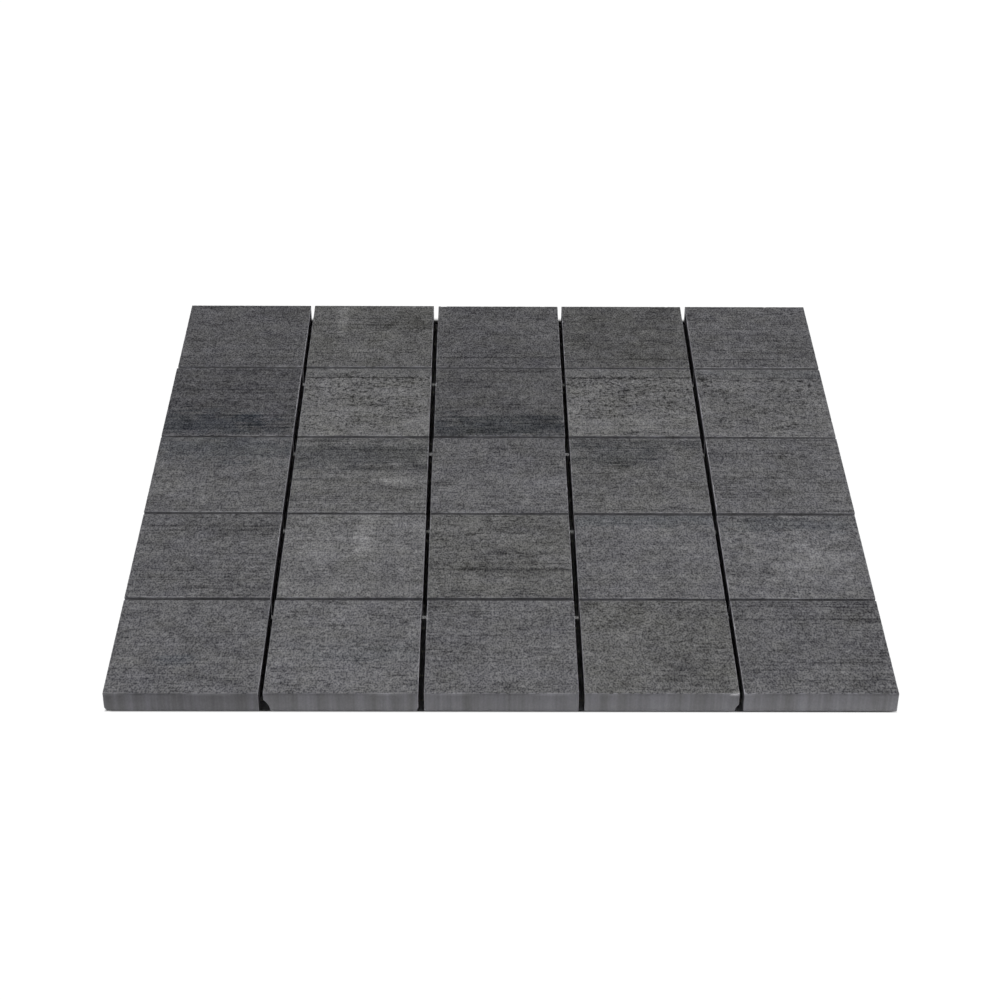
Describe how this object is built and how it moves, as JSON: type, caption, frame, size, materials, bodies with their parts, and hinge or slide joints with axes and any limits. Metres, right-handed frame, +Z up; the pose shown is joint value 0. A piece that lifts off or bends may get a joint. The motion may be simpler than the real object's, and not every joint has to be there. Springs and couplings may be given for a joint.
{
  "type": "cement mosaic tile",
  "caption": "Square mosaic sheet of sawn cement-look chips set with narrow open joints on a backing net, for bedding in adhesive on a floor or wall.",
  "frame": {"origin": "middle of the sheet, on the plane that the backing net lies on", "axes": "+Z up out of the faces of the chips, +X along the rows to the right, +Y away from the viewer"},
  "size_m": [0.2988, 0.2988, 0.0089],
  "materials": {
    "chip": "matte",
    "net": "matte"
  },
  "bodies": {
    "root": {"chip_row1_col1": "chip", "chip_row1_col2": "chip", "chip_row1_col3": "chip", "chip_row1_col4": "chip", "chip_row1_col5": "chip", "chip_row2_col1": "chip", "chip_row2_col2": "chip", "chip_row2_col3": "chip", "chip_row2_col4": "chip", "chip_row2_col5": "chip", "chip_row3_col1": "chip", "chip_row3_col2": "chip", "chip_row3_col3": "chip", "chip_row3_col4": "chip", "chip_row3_col5": "chip", "chip_row4_col1": "chip", "chip_row4_col2": "chip", "chip_row4_col3": "chip", "chip_row4_col4": "chip", "chip_row4_col5": "chip", "chip_row5_col1": "chip", "chip_row5_col2": "chip", "chip_row5_col3": "chip", "chip_row5_col4": "chip", "chip_row5_col5": "chip", "backing_net": "net"}
  },
  "joints": []
}
